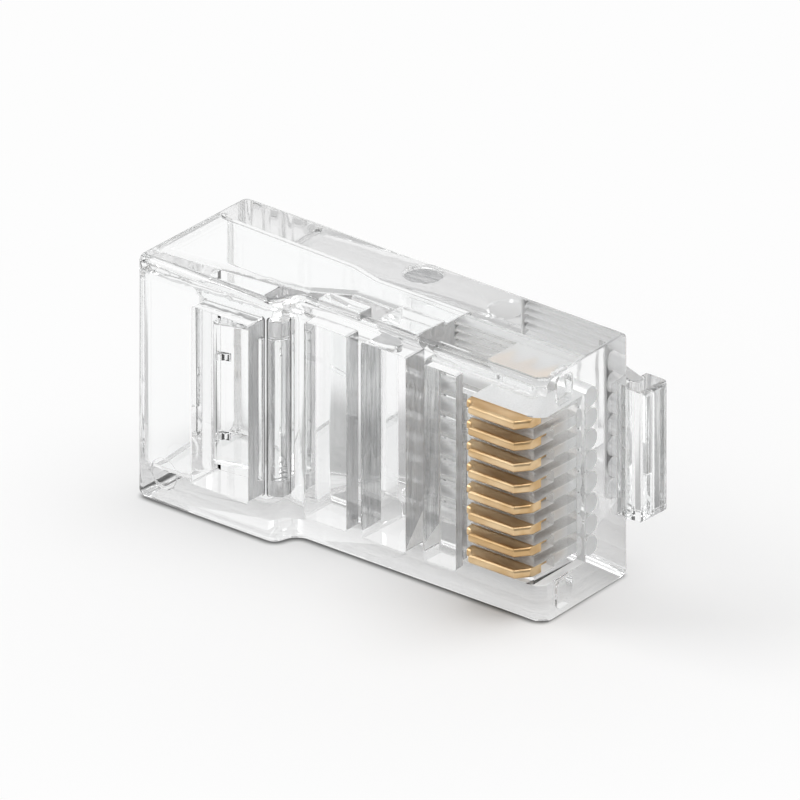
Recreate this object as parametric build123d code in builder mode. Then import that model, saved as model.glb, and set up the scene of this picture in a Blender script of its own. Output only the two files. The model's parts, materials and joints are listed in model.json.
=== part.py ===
from build123d import *
from math import cos, radians, sin
import os

os.makedirs("parts", exist_ok=True)

# Clear eight-way modular plug before crimping, in millimetres.
# X runs from the cable entry to the nose, Y from the contact side to the latch side,
# Z across the width. The plug lies on one narrow side, at Z = 0.

# Moulded body
body_length = 21.65
body_width = 11.68
nose_thickness = 6.3
rear_rise = 1.2          # extra thickness of the cable end, all on the contact side
rear_length = 7.75
step_slant = 0.3
step_radius = 0.6
nose_rake = 0.38         # the nose leans back towards the latch side
nose_chamfer = 0.37
corner_radius = 0.45
edge_radius = 0.38       # along the contact side
fine_edge_radius = 0.1   # round the nose and along the latch side

# Cable entry, funnel and wire chamber; ceilings are below the contact face of the nose section
mouth_ceiling = 0.27
mouth_height = 4.6
cavity_depth = 7.65
cavity_ceiling = 1.22
cavity_height = 3.46
cavity_side_wall = 1.1
cavity_corner = 0.5
mouth_chamfer = 0.18
chamber_start = 9.05
chamber_ceiling = 2.55
chamber_height = 2.05
chamber_side_wall = 1.75
chamber_end = 14.05

# Wires and contacts
contact_count = 8
contact_pitch = 1.02
channel_radius = 0.46
channel_axis_depth = 3.9
nose_wall = 0.45
blade_thickness = 0.44
blade_side_clearance = 0.03
blade_end_clearance = 0.05
blade_start = 17.5
blade_length = 3.43
blade_stand = 0.48       # contact edge above the contact face before crimping
blade_body_bottom = 2.0
prong_tip_depth = 3.0
prong_count = 3
prong_base = 0.68
blade_rear_radius = 0.45
blade_nose_drop = 0.58
blade_nose_run = 0.44
blade_head_depth = 0.87  # the nose end of the blade below the contact face
blade_head_reach = 0.43  # and how far it stands in front of the prongs
blade_crimp_travel = 0.75
blade_easing = 0.16      # rounding of the contact edge

# Contact recess at the nose
recess_start = 17.25
recess_height = 8.02
rib_top_depth = 0.32
nose_pocket_depth = 3.2
rail_pocket_width = 1.3
rail_pocket_height = 1.08
rail_pocket_corner = 0.25
rail_pocket_reach = 0.5
rail_pocket_level = 0.95     # above the lower side
rail_pocket_inset = 1.7      # below the contact face

# Grooves across the contact side
groove_starts = [8.4, 11.64, 15.1]
groove_lengths = [2.35, 2.41, 1.75]
groove_depths = [1.8, 2.75, 1.1]
groove_height = 9.35
groove_corner = 0.12

# Window and hinged strain relief bar
window_start = 3.12
window_length = 3.15
window_height = 8.48
window_reach = 0.3       # cut this far past the cavity ceiling
bar_length = 2.7
bar_angle = 15.0
bar_height = 6.74
bar_thickness = 0.75
bar_hinge_radius = 0.27
bar_hinge_clearance = 0.03
bar_hinge_recess = 1.72  # hinge line below the contact face of the cable end
bar_hinge_lead = 0.08    # hinge line in front of the wall of the window
bar_end_radius = 0.3
nub_spacing = 3.8
nub_length = 0.62
nub_width = 0.34
nub_height = 0.3

# Latch
latch_width = 6.25
tail_width = 3.2
root_reach = 0.55        # latch root stands this far in front of the nose
root_depth = 1.7
root_near_overlap = 0.06
root_edge_radius = 0.25
hinge_setback = 1.25
hinge_offset = 0.95
hinge_radius = 0.35
hinge_clearance = 0.03
gusset_length = 1.2
gusset_height = 0.3
arm_angle = 14.0
arm_length = 6.3
arm_root_half = 0.33
shoulder_height = 0.5
tail_angle = 8.0
tail_length = 7.2
tail_thickness = 0.9

# Moulding marks
ejector_radius = 0.7
ejector_depth = 0.08
ejector_inset = 1.6
side_mark_radius = 0.9
side_mark_depth = 0.2
side_mark_position = 10.9
side_mark_depth_in_body = 5.1

# Overall box, whose bottom centre is the origin
arm_lean = radians(arm_angle)
tail_lean = radians(tail_angle)
bar_lean = radians(bar_angle)
latch_stand = (hinge_offset + arm_length * sin(arm_lean) + tail_length * sin(tail_lean)
               + tail_thickness / 2)
overall_length = body_length + root_reach
overall_depth = rear_rise + nose_thickness + latch_stand

rear_x = -overall_length / 2
nose_x = rear_x + body_length
root_front_x = nose_x + root_reach
rear_face_y = -overall_depth / 2
contact_y = rear_face_y + rear_rise
latch_y = contact_y + nose_thickness
mid_z = body_width / 2
bottom_z = mid_z - body_width / 2

# Drawing plane on the contact face: local x along X, local y along Z, inwards is negative
contact_face = Plane((0, contact_y, 0), (1, 0, 0), (0, -1, 0))
rear_contact_face = contact_face.offset(rear_rise)
contact_heights = [mid_z + (i - (contact_count - 1) / 2) * contact_pitch
                   for i in range(contact_count)]

bar_hinge_x = rear_x + window_start + window_length - bar_hinge_lead
bar_hinge_y = rear_face_y + bar_hinge_recess
latch_hinge_x = root_front_x - hinge_setback
latch_hinge_y = latch_y + hinge_offset
slot_width = blade_thickness + 2 * blade_side_clearance
blade_start_x = rear_x + blade_start
blade_end_x = blade_start_x + blade_length
blade_slot_start_x = blade_start_x - blade_end_clearance
blade_slot_end_x = blade_end_x + blade_end_clearance
prong_end_x = blade_end_x - blade_head_reach
head_slot_depth = blade_head_depth + blade_crimp_travel + blade_end_clearance
channel_end_x = nose_x - nose_rake - nose_wall


def cross_section(x, near_depth, height, side_wall, corner):
    """Rounded rectangle across the plug at x, starting near_depth below the contact face."""
    with BuildSketch(Plane.YZ.offset(x)) as section:
        with Locations((contact_y + near_depth + height / 2, mid_z)):
            RectangleRounded(height, body_width - 2 * side_wall, corner)
    return section.sketch


with BuildPart() as housing:
    # Side profile with the step between the cable end and the nose section
    with BuildSketch():
        with BuildLine():
            Polyline(
                (rear_x, latch_y),
                (rear_x, rear_face_y),
                (rear_x + rear_length, rear_face_y),
                (rear_x + rear_length + step_slant, contact_y),
                (nose_x - nose_chamfer, contact_y),
                (nose_x, contact_y + nose_chamfer),
                (nose_x - nose_rake, latch_y),
                close=True,
            )
        make_face()
    extrude(amount=body_width)
    uprights = housing.edges().filter_by(Axis.Z).sort_by(Axis.X)
    fillet([uprights[0], uprights[1], uprights[-2]], corner_radius)
    steps = housing.edges().filter_by(Axis.Z).filter_by(
        lambda e: abs(e.center().X - rear_x - rear_length) < 2 * step_slant)
    fillet(steps, step_radius)
    contact_rims = housing.faces().filter_by(Plane.XY).edges().filter_by(
        lambda e: e.center().Y < contact_y + nose_chamfer and e.center().X < nose_x - nose_chamfer / 10)
    fillet(contact_rims, edge_radius)
    latch_rims = housing.faces().filter_by(Plane.XY).edges().filter_by(
        lambda e: e.center().Y > contact_y + nose_chamfer + edge_radius)
    fillet(latch_rims, fine_edge_radius)

    # Latch root: a block at the nose with a gusset under the hinge
    with BuildSketch(Plane.XY.offset(mid_z - latch_width / 2)):
        with BuildLine():
            Polyline(
                (latch_hinge_x - gusset_length, latch_y - nose_rake),
                (latch_hinge_x - gusset_length, latch_y + gusset_height),
                (latch_hinge_x, latch_y + gusset_height),
                (latch_hinge_x, latch_y + root_depth),
                (root_front_x, latch_y + root_depth),
                (root_front_x, latch_y - root_near_overlap),
                (nose_x - nose_rake - root_edge_radius, latch_y - root_near_overlap),
                (nose_x - nose_rake - root_edge_radius, latch_y - nose_rake),
                close=True,
            )
        make_face()
    extrude(amount=latch_width)
    root_front = housing.faces().filter_by(Axis.X).sort_by(Axis.X)[-1]
    fillet(root_front.edges(), root_edge_radius)
    with BuildSketch():
        with Locations((latch_hinge_x, latch_hinge_y)):
            Circle(hinge_radius + hinge_clearance)
    extrude(amount=body_width, mode=Mode.SUBTRACT)

    # Cable entry that narrows inwards, with a chamfered mouth, then the funnel and the wire chamber
    mouth_section = cross_section(rear_x, mouth_ceiling, mouth_height, cavity_side_wall,
                                  cavity_corner)
    cavity_section = cross_section(rear_x + cavity_depth, cavity_ceiling, cavity_height,
                                   cavity_side_wall, cavity_corner)
    chamber_section = cross_section(rear_x + chamber_start, chamber_ceiling, chamber_height,
                                    chamber_side_wall, cavity_corner)
    loft([mouth_section, cavity_section], mode=Mode.SUBTRACT)
    mouth = housing.faces().filter_by(Axis.X).sort_by(Axis.X)[0]
    chamfer(mouth.inner_wires()[0].edges(), mouth_chamfer)
    loft([cavity_section, chamber_section], mode=Mode.SUBTRACT)
    extrude(chamber_section, amount=chamber_end - chamber_start, mode=Mode.SUBTRACT)

    # One round channel for each wire
    with BuildSketch(Plane.YZ.offset(rear_x + chamber_end - channel_radius)):
        with Locations([(contact_y + channel_axis_depth, z) for z in contact_heights]):
            Circle(channel_radius)
    extrude(amount=channel_end_x - (rear_x + chamber_end - channel_radius), mode=Mode.SUBTRACT)

    # Grooves across the contact side; the middle one opens into the wire chamber
    for start, length, depth in zip(groove_starts, groove_lengths, groove_depths):
        with BuildSketch(contact_face):
            with Locations((rear_x + start + length / 2, mid_z)):
                RectangleRounded(length, groove_height, groove_corner)
        extrude(amount=-depth, mode=Mode.SUBTRACT)

    # Window for the strain relief bar, and the seat of its hinge
    with BuildSketch(rear_contact_face):
        with Locations((rear_x + window_start + window_length / 2, mid_z)):
            RectangleRounded(window_length, window_height, groove_corner)
    extrude(amount=-(rear_rise + cavity_ceiling + window_reach), mode=Mode.SUBTRACT)
    seat_height = bar_height + 2 * bar_hinge_clearance
    with BuildSketch(Plane.XY.offset(mid_z - seat_height / 2)):
        with Locations((bar_hinge_x, bar_hinge_y)):
            Circle(bar_hinge_radius + bar_hinge_clearance)
    extrude(amount=seat_height, mode=Mode.SUBTRACT)

    # Contact recess between the two side walls, with the ribs between the blades
    with BuildSketch(contact_face):
        with Locations((rear_x + recess_start, mid_z)):
            Rectangle(body_length - recess_start, recess_height,
                      align=(Align.MIN, Align.CENTER))
    extrude(amount=-rib_top_depth, mode=Mode.SUBTRACT)

    # Blade slots down to the channels with a shallow end for the blade's head,
    # and the pocket at the nose in front of the ribs
    for slot_end_x, slot_depth in ((prong_end_x + blade_end_clearance, channel_axis_depth),
                                   (blade_slot_end_x, head_slot_depth)):
        with BuildSketch(contact_face):
            with Locations([(blade_slot_start_x, z) for z in contact_heights]):
                Rectangle(slot_end_x - blade_slot_start_x, slot_width,
                          align=(Align.MIN, Align.CENTER))
        extrude(amount=-slot_depth, mode=Mode.SUBTRACT)
    with BuildSketch(contact_face):
        with Locations((blade_slot_end_x, mid_z)):
            Rectangle(nose_x - blade_slot_end_x, recess_height, align=(Align.MIN, Align.CENTER))
    extrude(amount=-nose_pocket_depth, mode=Mode.SUBTRACT)

    # Small pockets in the nose ends of both side walls
    with BuildSketch(Plane.YZ.offset(nose_x)):
        with Locations((contact_y + rail_pocket_inset, bottom_z + rail_pocket_level),
                       (contact_y + rail_pocket_inset, body_width - rail_pocket_level)):
            RectangleRounded(rail_pocket_height, rail_pocket_width, rail_pocket_corner)
    extrude(amount=-rail_pocket_reach, mode=Mode.SUBTRACT)

    # Ejector pin marks on the cable end and on both narrow sides
    with BuildSketch(rear_contact_face):
        with Locations((rear_x + ejector_inset, bottom_z + ejector_inset)):
            Circle(ejector_radius)
    extrude(amount=-ejector_depth, mode=Mode.SUBTRACT)
    for level, inwards in ((body_width, -side_mark_depth), (bottom_z, side_mark_depth)):
        with BuildSketch(Plane.XY.offset(level)):
            with Locations((rear_x + side_mark_position, contact_y + side_mark_depth_in_body)):
                Circle(side_mark_radius)
        extrude(amount=inwards, mode=Mode.SUBTRACT)

housing.part.label = "housing"
export_step(housing.part, "parts/housing.step")

# Strain relief bar: it widens from its hinge to a rounded free end with two gripping nubs
bar_hinge = Vector(bar_hinge_x, bar_hinge_y)
bar_along = Vector(-cos(bar_lean), -sin(bar_lean))
bar_out = Vector(sin(bar_lean), -cos(bar_lean))
bar_end = bar_hinge + bar_along * bar_length
nub_start = bar_end - bar_along * bar_end_radius

with BuildPart() as strain_relief_bar:
    with BuildSketch(Plane.XY.offset(mid_z - bar_height / 2)):
        with BuildLine():
            Polyline(
                bar_hinge + bar_out * bar_hinge_radius,
                bar_end + bar_out * bar_thickness / 2,
                bar_end - bar_out * bar_thickness / 2,
                bar_hinge - bar_out * bar_hinge_radius,
                close=True,
            )
        make_face()
        with Locations(bar_hinge):
            Circle(bar_hinge_radius)
    extrude(amount=bar_height)
    free_end = strain_relief_bar.edges().filter_by(Axis.Z).group_by(Axis.X)
    fillet(free_end[0] + free_end[1], bar_end_radius)
    for side in (-1, 1):
        with BuildSketch(Plane.XY.offset(mid_z + side * nub_spacing / 2 - nub_width / 2)):
            with BuildLine():
                Polyline(
                    nub_start,
                    nub_start + bar_out * (bar_thickness / 2 + nub_height),
                    nub_start - bar_along * nub_length + bar_out * bar_thickness / 2.2,
                    nub_start - bar_along * nub_length,
                    close=True,
                )
            make_face()
        extrude(amount=nub_width)

strain_relief_bar.part.label = "strain_relief_bar"
export_step(strain_relief_bar.part, "parts/strain_relief_bar.step")

# Latch: a wide arm from the hinge to its locking shoulders, then a narrow finger tail
arm_along = Vector(-cos(arm_lean), sin(arm_lean))
arm_out = Vector(sin(arm_lean), cos(arm_lean))
tail_along = Vector(-cos(tail_lean), sin(tail_lean))
tail_out = Vector(sin(tail_lean), cos(tail_lean))
hinge_point = Vector(latch_hinge_x, latch_hinge_y)
shoulder_point = hinge_point + arm_along * arm_length
tail_point = shoulder_point + tail_along * tail_length

with BuildPart() as latch_tab:
    with BuildSketch(Plane.XY.offset(mid_z - latch_width / 2)):
        with BuildLine():
            Polyline(
                hinge_point - arm_out * arm_root_half,
                shoulder_point - arm_out * tail_thickness / 2,
                tail_point - tail_out * tail_thickness / 2,
                tail_point + tail_out * tail_thickness / 2,
                shoulder_point + tail_out * tail_thickness / 2,
                shoulder_point + arm_out * (tail_thickness / 2 + shoulder_height),
                hinge_point + arm_out * arm_root_half,
                close=True,
            )
        make_face()
        with Locations(hinge_point):
            Circle(hinge_radius)
        with Locations(tail_point):
            Circle(tail_thickness / 2)
    extrude(amount=latch_width)
    notch_length = tail_length + tail_thickness
    notch_width = (latch_width - tail_width) / 2
    for side in (-1, 1):
        notch_z = mid_z + side * (tail_width + notch_width) / 2 - notch_width / 2
        with BuildSketch(Plane.XY.offset(notch_z)):
            with Locations((shoulder_point.X, shoulder_point.Y)):
                Rectangle(notch_length, notch_length, align=(Align.MAX, Align.CENTER))
        extrude(amount=notch_width, mode=Mode.SUBTRACT)

latch_tab.part.label = "latch_tab"
export_step(latch_tab.part, "parts/latch_tab.step")

# Contact blades: rounded contact edge, a head at the nose end and piercing prongs
prong_pitch = (prong_end_x - blade_start_x - prong_base) / (prong_count - 1)
head_bottom_y = contact_y + blade_head_depth
body_bottom_y = contact_y + blade_body_bottom
prong_tip_y = contact_y + prong_tip_depth
blade_top_y = contact_y - blade_stand
prong_points = []
for i in range(prong_count):
    root_x = prong_end_x - i * prong_pitch
    prong_points += [
        (root_x, body_bottom_y),
        (root_x - prong_base / 2, prong_tip_y),
        (root_x - prong_base, body_bottom_y),
    ]

for number, z in enumerate(contact_heights, start=1):
    with BuildPart() as contact:
        with BuildSketch(Plane.XY.offset(z - blade_thickness / 2)):
            with BuildLine():
                Polyline(
                    (blade_end_x - blade_nose_run, blade_top_y),
                    (blade_end_x, blade_top_y + blade_nose_drop),
                    (blade_end_x, head_bottom_y),
                    (prong_end_x, head_bottom_y),
                    *prong_points,
                    (blade_start_x, blade_top_y + blade_rear_radius),
                )
                RadiusArc((blade_start_x, blade_top_y + blade_rear_radius),
                          (blade_start_x + blade_rear_radius, blade_top_y), blade_rear_radius)
                Line((blade_start_x + blade_rear_radius, blade_top_y),
                     (blade_end_x - blade_nose_run, blade_top_y))
            make_face()
        extrude(amount=blade_thickness)
        contact_edges = contact.faces().filter_by(Plane.XY).edges().filter_by(
            lambda e: e.center().Y < blade_top_y + blade_nose_drop)
        fillet(contact_edges, blade_easing)
    contact.part.label = f"contact_{number}"
    export_step(contact.part, f"parts/contact_{number}.step")
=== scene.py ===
import json
import math

import bmesh
import bpy
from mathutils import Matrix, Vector

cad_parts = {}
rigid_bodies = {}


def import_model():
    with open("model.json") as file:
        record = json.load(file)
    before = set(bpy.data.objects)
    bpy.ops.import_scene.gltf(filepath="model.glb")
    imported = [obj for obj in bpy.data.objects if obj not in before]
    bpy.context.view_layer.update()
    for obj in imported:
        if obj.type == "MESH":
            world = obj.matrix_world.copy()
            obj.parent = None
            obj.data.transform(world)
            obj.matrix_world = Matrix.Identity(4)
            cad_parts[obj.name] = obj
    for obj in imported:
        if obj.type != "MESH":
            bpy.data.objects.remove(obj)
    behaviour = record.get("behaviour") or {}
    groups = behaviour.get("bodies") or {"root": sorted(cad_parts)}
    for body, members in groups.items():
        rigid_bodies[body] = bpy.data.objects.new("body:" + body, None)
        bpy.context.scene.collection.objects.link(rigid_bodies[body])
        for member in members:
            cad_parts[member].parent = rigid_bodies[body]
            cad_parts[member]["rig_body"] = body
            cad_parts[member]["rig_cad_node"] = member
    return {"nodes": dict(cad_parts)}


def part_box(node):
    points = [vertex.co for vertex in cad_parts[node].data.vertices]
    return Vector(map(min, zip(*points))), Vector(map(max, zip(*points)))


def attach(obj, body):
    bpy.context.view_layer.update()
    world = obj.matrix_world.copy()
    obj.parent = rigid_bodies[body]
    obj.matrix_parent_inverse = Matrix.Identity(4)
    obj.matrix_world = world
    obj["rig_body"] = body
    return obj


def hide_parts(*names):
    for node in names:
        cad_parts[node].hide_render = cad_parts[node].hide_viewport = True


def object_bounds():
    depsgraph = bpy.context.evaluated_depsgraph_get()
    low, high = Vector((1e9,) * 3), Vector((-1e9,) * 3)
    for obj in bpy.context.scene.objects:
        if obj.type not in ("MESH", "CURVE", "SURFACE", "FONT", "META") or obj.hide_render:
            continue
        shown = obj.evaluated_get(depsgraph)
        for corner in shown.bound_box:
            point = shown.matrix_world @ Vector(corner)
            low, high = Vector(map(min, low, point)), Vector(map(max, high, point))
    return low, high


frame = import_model()
CAD_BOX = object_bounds()
BLADES_BOX = (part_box("contact_1")[0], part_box("contact_8")[1])

bl_info = {
    "name": "Clear modular plug",
    "version": (1, 0, 0),
    "blender": (4, 5, 0),
    "location": "View3D > Sidebar > Modular Plug",
    "description": "Finishes a clear modular plug with gold contacts and sets it on a white table",
    "category": "Object",
}

MM = 0.001
CONTACT_NUMBERS = range(1, 9)
PLASTIC_IOR = 1.585         # polycarbonate's index of refraction
SLOT_REACH = 5.6 * MM       # from the blades' tops to the far side of the wire channels
CHANNEL_LEAD = 3.6 * MM     # by which the wire channels start behind the blades
SMALL_FACE = 5 * MM ** 2    # area under which a face belongs to a slot, a channel or the mark
SHARP_ANGLE = 32            # degrees past which an edge is rounded


class Field:
    """A socket in a node tree. Arithmetic on it adds Math nodes to that tree."""

    def __init__(self, tree, socket=None):
        self.tree = tree
        self.socket = socket

    def node(self, kind, settings=None, inputs=None, output=0):
        """Adds a node, sets it up, then gives its sockets their values or links."""
        made = self.tree.nodes.new(kind)
        for name, value in (settings or {}).items():
            if name == "stops":
                ramp = made.color_ramp
                for element, (position, colour) in zip(ramp.elements, value):
                    element.position, element.color = position, colour
                for position, colour in value[2:]:
                    ramp.elements.new(position).color = colour
            else:
                setattr(made, name, value)
        for name, value in (inputs or {}).items():
            if isinstance(value, Field):
                self.tree.links.new(value.socket, made.inputs[name])
            else:
                made.inputs[name].default_value = value
        return Field(self.tree, made.outputs[output] if len(made.outputs) else None)

    def math(self, operation, *values):
        return self.node("ShaderNodeMath", {"operation": operation}, dict(enumerate(values)))

    def __add__(self, other):
        return self.math("ADD", self, other)

    def __radd__(self, other):
        return self.math("ADD", other, self)

    def __sub__(self, other):
        return self.math("SUBTRACT", self, other)

    def __rsub__(self, other):
        return self.math("SUBTRACT", other, self)

    def __mul__(self, other):
        return self.math("MULTIPLY", self, other)

    def __rmul__(self, other):
        return self.math("MULTIPLY", other, self)

    def at_least(self, other):
        return self.math("MAXIMUM", self, other)

    def ramp(self, low, high, start=0.0, end=1.0):
        """This value spread smoothly from start at low to end at high."""
        return self.node("ShaderNodeMapRange", {"interpolation_type": "SMOOTHSTEP"},
                         {"Value": self, "From Min": low, "From Max": high,
                          "To Min": start, "To Max": end})


def new_surface(name):
    """A new material with an empty node tree, and a Field to start its expressions from."""
    material = bpy.data.materials.new(name)
    material.use_nodes = True
    material.node_tree.nodes.clear()
    return material, Field(material.node_tree)


def object_pattern(start, scale):
    """Object coordinates in millimetres, stretched by scale along each axis."""
    place = start.node("ShaderNodeTexCoord", output="Object")
    return start.node("ShaderNodeMapping", {"vector_type": "POINT"},
                      {"Vector": place, "Scale": [s / MM for s in scale]})


def viewing_rays(start):
    """One for rays of the camera, of reflections and of light through the plastic, in turn."""
    return [start.node("ShaderNodeLightPath", output=kind)
            for kind in ("Is Camera Ray", "Is Glossy Ray", "Is Transmission Ray")]


def components(start, vector):
    """The three components of a vector, as Fields."""
    parts = start.node("ShaderNodeSeparateXYZ", None, {0: vector})
    return [Field(parts.tree, output) for output in parts.socket.node.outputs]


def let_lamps_through(start, plastic, share):
    """Lets lamps and bounced light pass straight through, dimmed to share at each surface."""
    passed = start.node("ShaderNodeBsdfTransparent", None, {"Color": (share, share, share, 1.0)})
    shadow = start.node("ShaderNodeLightPath", output="Is Shadow Ray")
    bounce = start.node("ShaderNodeLightPath", output="Is Diffuse Ray")
    surface = start.node("ShaderNodeMixShader", None,
                         {0: shadow.at_least(bounce), 1: plastic, 2: passed})
    start.node("ShaderNodeOutputMaterial", None, {"Surface": surface})


def clear_polycarbonate(settings):
    """Clear moulded polycarbonate with faint flow waves, handling haze and painted shade that darkens
    its colour where it is seen at a grazing angle.
    """
    material, start = new_surface("clear_polycarbonate")
    waves = start.node("ShaderNodeTexNoise", None,
                       {"Vector": object_pattern(start, (0.9, 0.9, 0.12)), "Scale": 0.8,
                        "Detail": 2.0, "Roughness": 0.45})
    haze = start.node("ShaderNodeTexNoise", None,
                      {"Vector": object_pattern(start, (1.0, 1.0, 1.0)), "Scale": 1.4,
                       "Detail": 4.0, "Roughness": 0.6})
    bump = start.node("ShaderNodeBump", None,
                      {"Height": waves, "Strength": 1.0, "Distance": settings.wave_height})
    roughness = haze.ramp(0.45, 0.75, settings.gloss_roughness, settings.haze_roughness)
    grazing = start.node("ShaderNodeLayerWeight", None, {"Blend": 0.5}, output="Facing")
    # Painted shade: the colour goes from the tint to the dark grazing tint where the face is seen
    # edge-on.
    colour = start.node("ShaderNodeMix", {"data_type": "RGBA"},
                        {"Factor": grazing.ramp(0.6, 0.88), 6: (*settings.tint, 1.0),
                         7: (*settings.grazing_shade_tint, 1.0)}, output=2)
    plastic = start.node("ShaderNodeBsdfPrincipled", None, {
        "Base Color": colour,
        "Roughness": roughness,
        "IOR": PLASTIC_IOR,
        "Transmission Weight": 1.0,
        "Normal": bump,
    })
    let_lamps_through(start, plastic, settings.lamp_share)
    return material


def tool_marked_painted_shade_polycarbonate(settings):
    """The same plastic where the mould's cores slid out: drawn streaks, with a dark grey diffuse layer
    over part of the walls as painted shade.
    """
    material, start = new_surface("tool_marked_painted_shade_polycarbonate")
    streaks = start.node("ShaderNodeTexNoise", None,
                         {"Vector": object_pattern(start, (1.0, 5.0, 0.35)), "Scale": 1.2,
                          "Detail": 4.0, "Roughness": 0.6})
    bump = start.node("ShaderNodeBump", None,
                      {"Height": streaks, "Strength": 1.0, "Distance": settings.streak_height})
    plastic = start.node("ShaderNodeBsdfPrincipled", None, {
        "Base Color": (*settings.tint, 1.0),
        "Roughness": streaks.ramp(0.3, 0.7, 0.04, 0.16),
        "IOR": PLASTIC_IOR,
        "Transmission Weight": 1.0,
        "Normal": bump,
    })
    # Painted shade: a dark grey diffuse layer that the streaks mix over the walls.
    painted_wall_shade = start.node("ShaderNodeBsdfDiffuse", None, {"Color": (*settings.wall_shade_grey, 1.0)})
    wall = start.node("ShaderNodeMixShader", None,
                      {0: streaks.ramp(0.25, 0.75, settings.wall_shade_cover - 0.2,
                                       settings.wall_shade_cover + 0.2), 1: plastic, 2: painted_wall_shade})
    let_lamps_through(start, wall, settings.lamp_share)
    return material


def grained_polycarbonate(settings):
    """The same plastic with the fine frosted grain that spark erosion leaves in thin slots."""
    material, start = new_surface("grained_polycarbonate")
    grain = start.node("ShaderNodeTexNoise", None,
                       {"Vector": object_pattern(start, (1.0, 1.0, 1.0)), "Scale": 9.0,
                        "Detail": 3.0, "Roughness": 0.6})
    bump = start.node("ShaderNodeBump", None,
                      {"Height": grain, "Strength": 1.0, "Distance": settings.wave_height})
    plastic = start.node("ShaderNodeBsdfPrincipled", None, {
        "Base Color": (*settings.tint, 1.0),
        "Roughness": grain.ramp(0.3, 0.7, settings.grain_roughness,
                                settings.grain_roughness + 0.15),
        "IOR": PLASTIC_IOR,
        "Transmission Weight": 1.0,
        "Normal": bump,
    })
    pale = start.node("ShaderNodeBsdfDiffuse", None, {"Color": (*settings.grain_grey, 1.0)})
    wall = start.node("ShaderNodeMixShader", None,
                      {0: grain.ramp(0.3, 0.7, settings.grain_cover - 0.1,
                                     settings.grain_cover + 0.1), 1: plastic, 2: pale})
    let_lamps_through(start, wall, settings.lamp_share)
    return material


def gold_plating(settings):
    """Satin gold plating: fine drag lines along the stamping and slow changes of tone."""
    material, start = new_surface("gold_plating")
    drag = start.node("ShaderNodeTexNoise", None,
                      {"Vector": object_pattern(start, (0.35, 12.0, 12.0)), "Scale": 1.4,
                       "Detail": 3.0, "Roughness": 0.55})
    mottle = start.node("ShaderNodeTexNoise", None,
                        {"Vector": object_pattern(start, (0.5, 1.0, 1.0)), "Scale": 1.1,
                         "Detail": 2.0, "Roughness": 0.5})
    deep = (*settings.deep_tone, 1.0)
    bright = (*settings.bright_tone, 1.0)
    colour = start.node("ShaderNodeMix", {"data_type": "RGBA"},
                        {"Factor": mottle.ramp(0.3, 0.7), 6: deep, 7: bright}, output=2)
    bump = start.node("ShaderNodeBump", None,
                      {"Height": drag, "Strength": 0.5, "Distance": 0.004 * MM})
    gold = start.node("ShaderNodeBsdfPrincipled", None, {
        "Base Color": colour,
        "Metallic": 1.0,
        "Roughness": drag.ramp(0.3, 0.7, settings.satin_roughness,
                               settings.satin_roughness + 0.08),
        "Normal": bump,
    })
    start.node("ShaderNodeOutputMaterial", None, {"Surface": gold})
    return material


def select_only(piece):
    """Makes one object the active and only selected one."""
    bpy.ops.object.select_all(action="DESELECT")
    piece.select_set(True)
    bpy.context.view_layer.objects.active = piece


def share_bevel(mesh, share_of):
    """Gives every sharp edge its share of the bevel's width, by its place in millimetres."""
    work = bmesh.new()
    work.from_mesh(mesh)
    share = work.edges.layers.float.new("bevel_weight_edge")
    for edge in work.edges:
        if edge.calc_face_angle(0.0) > math.radians(SHARP_ANGLE):
            edge[share] = share_of(*(corner.co for corner in edge.verts))
    work.to_mesh(mesh)
    work.free()


def eased_copy(node_name, piece_name, edge_radius, share_of):
    """Copies a CAD node, joins its triangles into whole faces and rounds its sharp edges.
    It is worked on at millimetre scale, where the mesh tools' own tolerances are small."""
    select_only(frame["nodes"][node_name])
    bpy.ops.object.duplicate()
    piece = bpy.context.object
    piece.name = piece.data.name = piece_name
    piece.parent = None
    del piece["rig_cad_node"], piece["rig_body"]

    bpy.ops.object.mode_set(mode="EDIT")
    bpy.ops.mesh.select_all(action="SELECT")
    bpy.ops.mesh.customdata_custom_splitnormals_clear()
    bpy.ops.transform.resize(value=(1 / MM,) * 3, center_override=(0.0, 0.0, 0.0))
    bpy.ops.mesh.remove_doubles(threshold=0.0003)
    bpy.ops.mesh.dissolve_limited(angle_limit=math.radians(0.6))
    bpy.ops.object.mode_set(mode="OBJECT")

    share_bevel(piece.data, share_of)
    easing = piece.modifiers.new("eased_edges", "BEVEL")
    easing.limit_method = "WEIGHT"
    easing.width = edge_radius / MM
    easing.segments = 3
    easing.use_clamp_overlap = False
    bpy.ops.object.modifier_apply(modifier=easing.name)
    bpy.ops.object.shade_smooth_by_angle(angle=math.radians(48))
    weighing = piece.modifiers.new("flat_faces", "WEIGHTED_NORMAL")
    weighing.keep_sharp = True
    weighing.weight = 100
    bpy.ops.object.modifier_apply(modifier=weighing.name)

    bpy.ops.object.mode_set(mode="EDIT")
    bpy.ops.mesh.select_all(action="SELECT")
    bpy.ops.transform.resize(value=(MM,) * 3, center_override=(0.0, 0.0, 0.0))
    bpy.ops.object.mode_set(mode="OBJECT")
    return piece


def same_share(start, end):
    """Every sharp edge is rounded alike."""
    return 1.0


def slot_share(start, end):
    """Edges in the blade slots are only broken, so that the blades keep their clearance."""
    low, high = BLADES_BOX
    middle = (start + end) * MM / 2
    in_slots = (low.x - 0.5 * MM < middle.x < high.x + 0.3 * MM
                and low.z - 0.3 * MM < middle.z < high.z + 0.3 * MM
                and middle.y < low.y + SLOT_REACH)
    return 0.15 if in_slots else 1.0


def dress(node_name, piece_name, body, material, edge_radius, share_of=same_share):
    """Builds the eased piece that is shown for a CAD node, and gives it its finish."""
    piece = eased_copy(node_name, piece_name, edge_radius, share_of)
    piece.data.materials.clear()
    piece.data.materials.append(material)
    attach(piece, body)
    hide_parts(node_name)
    return piece


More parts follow.
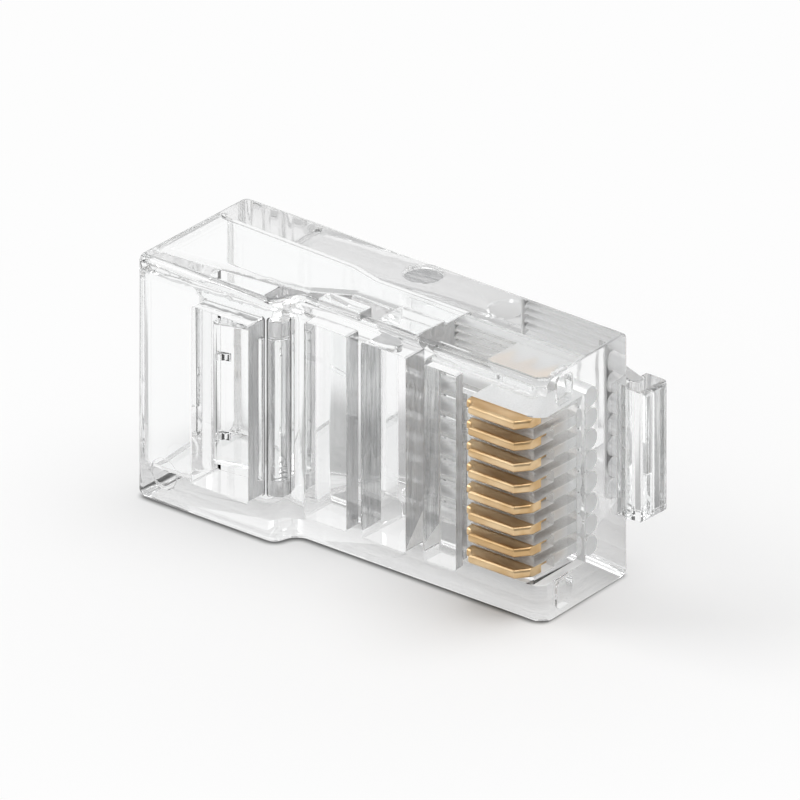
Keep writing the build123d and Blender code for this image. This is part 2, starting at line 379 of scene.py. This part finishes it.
def mark_cross_walls(piece, material):
    """Gives the pocket walls that face the cable end and the side mark the streaked plastic with
    painted shade.
    """
    piece.data.materials.append(material)
    low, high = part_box("housing")
    for face in piece.data.polygons:
        inside = low.x + 0.3 * MM < face.center.x < high.x - 1.2 * MM
        sunk = (face.normal.z > 0.9 and high.z - 0.4 * MM < face.center.z < high.z - 0.01 * MM
                and face.area < SMALL_FACE)
        if (face.normal.x < -0.9 and inside) or sunk:
            face.material_index = 1


def mark_slots_and_channels(piece, material):
    """Gives the blade slots and the wire channels the fine grain of their eroded cores."""
    piece.data.materials.append(material)
    blade_low, blade_high = BLADES_BOX
    for face in piece.data.polygons:
        along = blade_low.x - CHANNEL_LEAD < face.center.x < blade_high.x
        between = blade_low.z - 0.4 * MM < face.center.z < blade_high.z + 0.4 * MM
        inside = blade_low.y + 0.9 * MM < face.center.y < blade_low.y + SLOT_REACH
        fitting = face.area < SMALL_FACE or abs(face.normal.z) > 0.9
        if along and between and inside and fitting:
            face.material_index = 2


class ClearPlasticSettings(bpy.types.PropertyGroup):
    tint: bpy.props.FloatVectorProperty(
        name="Tint", description="Colour that the plastic gives to light passing through it",
        subtype="COLOR", size=3, min=0.0, max=1.0, default=(0.985, 0.99, 0.99))
    # Painted shade: the grey that the plastic's colour takes where it is seen at a grazing angle.
    grazing_shade_tint: bpy.props.FloatVectorProperty(
        name="Edge tint", description="Colour of the plastic where light only grazes it",
        subtype="COLOR", size=3, min=0.0, max=1.0, default=(0.4, 0.405, 0.41))
    gloss_roughness: bpy.props.FloatProperty(
        name="Gloss roughness", description="Roughness of the polished faces",
        subtype="FACTOR", min=0.0, max=1.0, default=0.015)
    haze_roughness: bpy.props.FloatProperty(
        name="Haze roughness", description="Roughness where handling has dulled the faces",
        subtype="FACTOR", min=0.0, max=1.0, default=0.05)
    edge_radius: bpy.props.FloatProperty(
        name="Edge radius", description="Rounding of the edges that the mould leaves",
        subtype="DISTANCE", unit="LENGTH", min=0.0, default=0.06 * MM)
    wave_height: bpy.props.FloatProperty(
        name="Flow wave height", description="Height of the faint waves left by moulding",
        subtype="DISTANCE", unit="LENGTH", min=0.0, default=0.006 * MM)
    streak_height: bpy.props.FloatProperty(
        name="Streak height", description="Height of the drawn streaks on the pocket walls",
        subtype="DISTANCE", unit="LENGTH", min=0.0, default=0.012 * MM)
    # Painted shade on the pocket walls: its grey and how much of the walls it covers.
    wall_shade_grey: bpy.props.FloatVectorProperty(
        name="Wall grey", description="Colour of the painted_grey_shade on the pocket walls",
        subtype="COLOR", size=3, min=0.0, max=1.0, default=(0.24, 0.245, 0.25))
    wall_shade_cover: bpy.props.FloatProperty(
        name="Wall painted_grey_shade", description="Share of the pocket walls that painted_grey_shade covers",
        subtype="FACTOR", min=0.0, max=1.0, default=0.46)
    grain_roughness: bpy.props.FloatProperty(
        name="Grain roughness", description="Roughness of the frosted slot sides",
        subtype="FACTOR", min=0.0, max=1.0, default=0.35)
    grain_grey: bpy.props.FloatVectorProperty(
        name="Grain grey", description="Colour of the frosting on the slot sides",
        subtype="COLOR", size=3, min=0.0, max=1.0, default=(0.84, 0.85, 0.85))
    grain_cover: bpy.props.FloatProperty(
        name="Frosting", description="Share of the slot sides that frosting covers",
        subtype="FACTOR", min=0.0, max=1.0, default=0.5)
    lamp_share: bpy.props.FloatProperty(
        name="Lamp share", description="Share of lamp light that passes each surface",
        subtype="FACTOR", min=0.0, max=1.0, default=0.9)


class GoldPlatingSettings(bpy.types.PropertyGroup):
    deep_tone: bpy.props.FloatVectorProperty(
        name="Deep tone", description="Colour of the darker patches of plating",
        subtype="COLOR", size=3, min=0.0, max=1.0, default=(0.62, 0.41, 0.2))
    bright_tone: bpy.props.FloatVectorProperty(
        name="Bright tone", description="Colour of the brighter patches of plating",
        subtype="COLOR", size=3, min=0.0, max=1.0, default=(0.82, 0.62, 0.38))
    satin_roughness: bpy.props.FloatProperty(
        name="Satin roughness", description="Roughness of the stamped faces",
        subtype="FACTOR", min=0.0, max=1.0, default=0.34)
    edge_radius: bpy.props.FloatProperty(
        name="Edge radius", description="Rounding of the stamped edges",
        subtype="DISTANCE", unit="LENGTH", min=0.0, default=0.02 * MM)


class StageSettings(bpy.types.PropertyGroup):
    white: bpy.props.FloatProperty(
        name="Table white", description="How white the table and backdrop look",
        subtype="FACTOR", min=0.0, max=1.0, default=0.982)
    azimuth: bpy.props.FloatProperty(
        name="Azimuth", description="Camera's turn round the plug",
        subtype="ANGLE", unit="ROTATION", default=math.radians(39.3))
    elevation: bpy.props.FloatProperty(
        name="Elevation", description="Camera's height above the horizon",
        subtype="ANGLE", unit="ROTATION", default=math.radians(26.0))
    picture_width: bpy.props.FloatProperty(
        name="Picture width", description="Width of the view at the plug",
        subtype="DISTANCE", unit="LENGTH", min=0.001, default=34.48 * MM)


class PLUG_OT_clear_mouldings(bpy.types.Operator):
    """Finishes the housing, latch and strain relief bar in clear polycarbonate"""

    bl_idname = "modular_plug.clear_mouldings"
    bl_label = "Clear Mouldings"
    bl_options = {"REGISTER", "UNDO"}

    def execute(self, context):
        settings = context.scene.plug_plastic
        plastic = clear_polycarbonate(settings)
        for node, piece, body, share_of in (
            ("housing", "housing_moulding", "plug_body", slot_share),
            ("latch_tab", "latch_moulding", "latch", same_share),
            ("strain_relief_bar", "relief_bar_moulding", "relief_bar", same_share),
        ):
            dress(node, piece, body, plastic, settings.edge_radius, share_of)
        housing = bpy.data.objects["housing_moulding"]
        mark_cross_walls(housing, tool_marked_painted_shade_polycarbonate(settings))
        mark_slots_and_channels(housing, grained_polycarbonate(settings))
        return {"FINISHED"}


class PLUG_OT_gold_contacts(bpy.types.Operator):
    """Plates the eight contact blades with satin gold"""

    bl_idname = "modular_plug.gold_contacts"
    bl_label = "Gold Contacts"
    bl_options = {"REGISTER", "UNDO"}

    def execute(self, context):
        settings = context.scene.plug_gold
        gold = gold_plating(settings)
        for i in CONTACT_NUMBERS:
            dress(f"contact_{i}", f"contact_blade_{i}", f"blade_{i}", gold,
                  settings.edge_radius)
        return {"FINISHED"}


def studio_world(settings):
    """Plain daylight as the lamps' fill, and a white studio with a dark and a grey wall and a
    dark patch overhead for reflections and for light through the plastic."""
    world = bpy.data.worlds.new("studio")
    world.use_nodes = True
    world.node_tree.nodes.clear()
    start = Field(world.node_tree)
    direction = start.node("ShaderNodeTexCoord", output="Generated")
    east, north, up = components(start, direction)
    white = settings.white
    dark_side = (east * 0.93 + north * 0.37).ramp(0.3, 0.75, white, 0.05)
    grey_side = (east * -0.7 - north * 0.7).ramp(0.5, 0.9, 1.0, 0.5)
    dark_top = (up - north * 0.35).ramp(0.7, 1.05, 1.0, 0.3)
    seen, glossy, through = viewing_rays(start)
    studio = (dark_side * grey_side * dark_top).at_least(seen * white)
    level = start.node("ShaderNodeMix", {"data_type": "FLOAT"},
                       {"Factor": seen.at_least(glossy).at_least(through), 2: 0.43, 3: studio})
    background = start.node("ShaderNodeBackground", None,
                            {"Color": (1.0, 1.0, 1.0, 1.0), "Strength": level})
    start.node("ShaderNodeOutputWorld", None, {"Surface": background})
    return world


def table_surface(settings):
    """White table with a soft shadow near the plug and a painted dark contact shadow where the plug
    meets it. Seen through the plastic, it has painted light on the contact side and painted shade on
    the latch side."""
    material, start = new_surface("white_table")
    place = start.node("ShaderNodeTexCoord", output="Object")
    reach = start.node("ShaderNodeVectorMath", {"operation": "LENGTH"}, {0: place}, output="Value")
    paint = start.node("ShaderNodeBsdfDiffuse", None, {"Color": (0.95, 0.95, 0.95, 1.0)})
    glow = start.node("ShaderNodeEmission", None, {"Strength": settings.white})
    seen, glossy, through = viewing_rays(start)
    plain = seen.at_least(glossy).at_least(through)
    openness = start.node("ShaderNodeAmbientOcclusion", {"samples": 8},
                          {"Distance": 0.35 * MM}, output=1)
    # Near-black diffuse that is mixed in as painted shade.
    shade = start.node("ShaderNodeBsdfDiffuse", None, {"Color": (0.05, 0.05, 0.05, 1.0)})
    latchwards = components(start, place)[1]
    # Painted shade: light through the plastic sees the table darker under the plug on the latch side.
    painted_footprint_shade = through * reach.ramp(0.010, 0.014, 0.5, 0.0) * latchwards.ramp(-0.001, 0.003)
    # Painted contact shadow: near-black wherever ambient occlusion finds the plug close, for camera
    # rays.
    painted_contact_shadow = seen * openness.ramp(0.1, 0.9, 0.85, 0.0)
    grounded = start.node("ShaderNodeMixShader", None,
                          {0: painted_contact_shadow.at_least(painted_footprint_shade), 1: paint, 2: shade})
    # Painted light: light through the plastic sees the glowing white, not the shadowed table, on the
    # contact side near the plug.
    painted_lit_edge = through * latchwards.ramp(-0.004, 0.001, 0.8, 0.0)
    open_floor = (plain * reach.ramp(0.016, 0.032, 0.0, 1.0)).at_least(painted_lit_edge)
    surface = start.node("ShaderNodeMixShader", None, {0: open_floor, 1: grounded, 2: glow})
    start.node("ShaderNodeOutputMaterial", None, {"Surface": surface})
    return material


def add_lamp(name, place, target, size, power):
    """A square soft lamp at place, turned to face target."""
    bpy.ops.object.light_add(type="AREA", location=place)
    lamp = bpy.context.object
    lamp.name = name
    lamp.data.size = size
    lamp.data.energy = power
    lamp.rotation_euler = (Vector(target) - Vector(place)).to_track_quat("-Z", "Y").to_euler()
    return lamp


class PLUG_OT_stage(bpy.types.Operator):
    """Sets the white table, the studio lamps and the camera"""

    bl_idname = "modular_plug.stage"
    bl_label = "Stage"
    bl_options = {"REGISTER", "UNDO"}

    def execute(self, context):
        settings = context.scene.plug_stage
        bpy.ops.mesh.primitive_plane_add(size=0.9, location=(0.0, 0.0, 0.0))
        table = context.object
        table.name = "table"
        table.data.materials.append(table_surface(settings))
        context.scene.world = studio_world(settings)

        centre = (CAD_BOX[0] + CAD_BOX[1]) / 2
        add_lamp("top_lamp", (0.05, 0.06, 0.28), centre, 0.22, 0.46)
        add_lamp("side_lamp", (-0.22, -0.10, 0.14), centre, 0.16, 0.26)

        turn, rise = settings.azimuth, settings.elevation
        back = Vector((math.sin(turn) * math.cos(rise), -math.cos(turn) * math.cos(rise),
                       math.sin(rise)))
        right = Vector((math.cos(turn), math.sin(turn), 0.0))
        upward = back.cross(right)
        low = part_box("housing")[0]
        target = (Vector((low.x, low.y, 0.0)) + Vector((11.0, 4.2, 5.84)) * MM
                  + (right * 0.246 + upward * 0.541) * MM)
        bpy.ops.object.camera_add(location=target + back * 0.3)
        camera = context.object
        camera.name = "camera"
        camera.rotation_euler = (-back).to_track_quat("-Z", "Y").to_euler()
        camera.data.type = "ORTHO"
        camera.data.ortho_scale = settings.picture_width
        camera.data.clip_start = 0.01
        camera.data.clip_end = 2.0
        context.scene.camera = camera

        context.scene.view_settings.view_transform = "Standard"
        context.scene.cycles.max_bounces = 32
        context.scene.cycles.transmission_bounces = 32
        context.scene.cycles.glossy_bounces = 16
        context.scene.cycles.transparent_max_bounces = 32
        return {"FINISHED"}


class PLUG_PT_sidebar(bpy.types.Panel):
    bl_idname = "PLUG_PT_sidebar"
    bl_label = "Modular Plug"
    bl_space_type = "VIEW_3D"
    bl_region_type = "UI"
    bl_category = "Modular Plug"

    def draw(self, context):
        scene = context.scene
        for title, settings, step in (
            ("Clear plastic", scene.plug_plastic, PLUG_OT_clear_mouldings),
            ("Gold plating", scene.plug_gold, PLUG_OT_gold_contacts),
            ("Stage", scene.plug_stage, PLUG_OT_stage),
        ):
            box = self.layout.box()
            box.label(text=title)
            for name in settings.__annotations__:
                box.prop(settings, name)
            box.operator(step.bl_idname)


CLASSES = (
    ClearPlasticSettings,
    GoldPlatingSettings,
    StageSettings,
    PLUG_OT_clear_mouldings,
    PLUG_OT_gold_contacts,
    PLUG_OT_stage,
    PLUG_PT_sidebar,
)


def register():
    for cls in CLASSES:
        bpy.utils.register_class(cls)
    bpy.types.Scene.plug_plastic = bpy.props.PointerProperty(type=ClearPlasticSettings)
    bpy.types.Scene.plug_gold = bpy.props.PointerProperty(type=GoldPlatingSettings)
    bpy.types.Scene.plug_stage = bpy.props.PointerProperty(type=StageSettings)


def unregister():
    del bpy.types.Scene.plug_stage
    del bpy.types.Scene.plug_gold
    del bpy.types.Scene.plug_plastic
    for cls in reversed(CLASSES):
        bpy.utils.unregister_class(cls)


def main():
    register()
    bpy.ops.object.select_all(action="DESELECT")
    bpy.ops.modular_plug.clear_mouldings()
    bpy.ops.modular_plug.gold_contacts()
    bpy.ops.modular_plug.stage()


if __name__ == "__main__":
    main()
